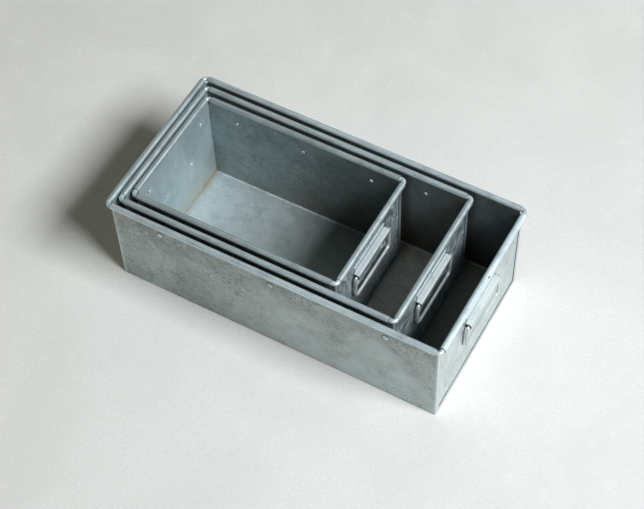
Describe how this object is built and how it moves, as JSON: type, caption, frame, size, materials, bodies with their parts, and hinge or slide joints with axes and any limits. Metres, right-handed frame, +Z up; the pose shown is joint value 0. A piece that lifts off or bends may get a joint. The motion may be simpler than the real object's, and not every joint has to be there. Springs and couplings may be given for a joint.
{
  "type": "nesting storage box set",
  "caption": "Nested set of open-top sheet-steel storage boxes with rolled wire rims and hinged wire bail handles on their ends.",
  "frame": {"origin": "on the ground, under the middle of the large box", "axes": "+X along the boxes to the front end, where the nested boxes leave room, +Z up"},
  "size_m": [0.4142, 0.2118, 0.1348],
  "materials": {
    "body_sheet_zinc": "dull mottled galvanised zinc",
    "end_panel_zinc": "dull mottled galvanised zinc",
    "rim_wire": "bright worn zinc",
    "handle_plate_zinc": "satin zinc",
    "bail_wire": "satin zinc-plated wire",
    "rivet_steel": "dull zinc"
  },
  "bodies": {
    "large_box": {"large_body_sheet": "body_sheet_zinc", "large_rim_wire": "rim_wire", "large_wall_rivets": "rivet_steel", "large_front_panel": "end_panel_zinc", "large_front_handle_plate": "handle_plate_zinc", "large_front_plate_rivets": "rivet_steel", "large_rear_panel": "end_panel_zinc", "large_rear_handle_plate": "handle_plate_zinc", "large_rear_plate_rivets": "rivet_steel"},
    "large_front_bail": {"large_front_bail": "bail_wire"},
    "large_rear_bail": {"large_rear_bail": "bail_wire"},
    "medium_box": {"medium_body_sheet": "body_sheet_zinc", "medium_rim_wire": "rim_wire", "medium_wall_rivets": "rivet_steel", "medium_front_panel": "end_panel_zinc", "medium_front_handle_plate": "handle_plate_zinc", "medium_front_plate_rivets": "rivet_steel", "medium_rear_panel": "end_panel_zinc", "medium_rear_handle_plate": "handle_plate_zinc", "medium_rear_plate_rivets": "rivet_steel"},
    "medium_front_bail": {"medium_front_bail": "bail_wire"},
    "medium_rear_bail": {"medium_rear_bail": "bail_wire"},
    "small_box": {"small_body_sheet": "body_sheet_zinc", "small_rim_wire": "rim_wire", "small_wall_rivets": "rivet_steel", "small_front_panel": "end_panel_zinc", "small_front_handle_plate": "handle_plate_zinc", "small_front_plate_rivets": "rivet_steel", "small_rear_panel": "end_panel_zinc", "small_rear_handle_plate": "handle_plate_zinc", "small_rear_plate_rivets": "rivet_steel"},
    "small_front_bail": {"small_front_bail": "bail_wire"},
    "small_rear_bail": {"small_rear_bail": "bail_wire"}
  },
  "joints": [
    {"name": "medium_lift", "type": "slide", "parent": "large_box", "child": "medium_box", "axis": [0, 0, 1], "range_m": [0, 0.15]},
    {"name": "small_lift", "type": "slide", "parent": "medium_box", "child": "small_box", "axis": [0, 0, 1], "range_m": [0, 0.15]},
    {"name": "large_front_bail_hinge", "type": "hinge", "parent": "large_box", "child": "large_front_bail", "pos_m": [0.204, 0, 0.0925], "axis": [0, -1, 0], "range_deg": [-2.5, 170]},
    {"name": "large_rear_bail_hinge", "type": "hinge", "parent": "large_box", "child": "large_rear_bail", "pos_m": [-0.204, 0, 0.0925], "axis": [0, 1, 0], "range_deg": [-2.5, 170]},
    {"name": "medium_front_bail_hinge", "type": "hinge", "parent": "medium_box", "child": "medium_front_bail", "pos_m": [0.1456, 0, 0.0925], "axis": [0, -1, 0], "range_deg": [-2.5, 170]},
    {"name": "medium_rear_bail_hinge", "type": "hinge", "parent": "medium_box", "child": "medium_rear_bail", "pos_m": [-0.195, 0, 0.0925], "axis": [0, 1, 0], "range_deg": [-2.5, 2.5]},
    {"name": "small_front_bail_hinge", "type": "hinge", "parent": "small_box", "child": "small_front_bail", "pos_m": [0.0702, 0, 0.0925], "axis": [0, -1, 0], "range_deg": [-2.5, 170]},
    {"name": "small_rear_bail_hinge", "type": "hinge", "parent": "small_box", "child": "small_rear_bail", "pos_m": [-0.186, 0, 0.0925], "axis": [0, 1, 0], "range_deg": [-2.5, 2.5]}
  ]
}
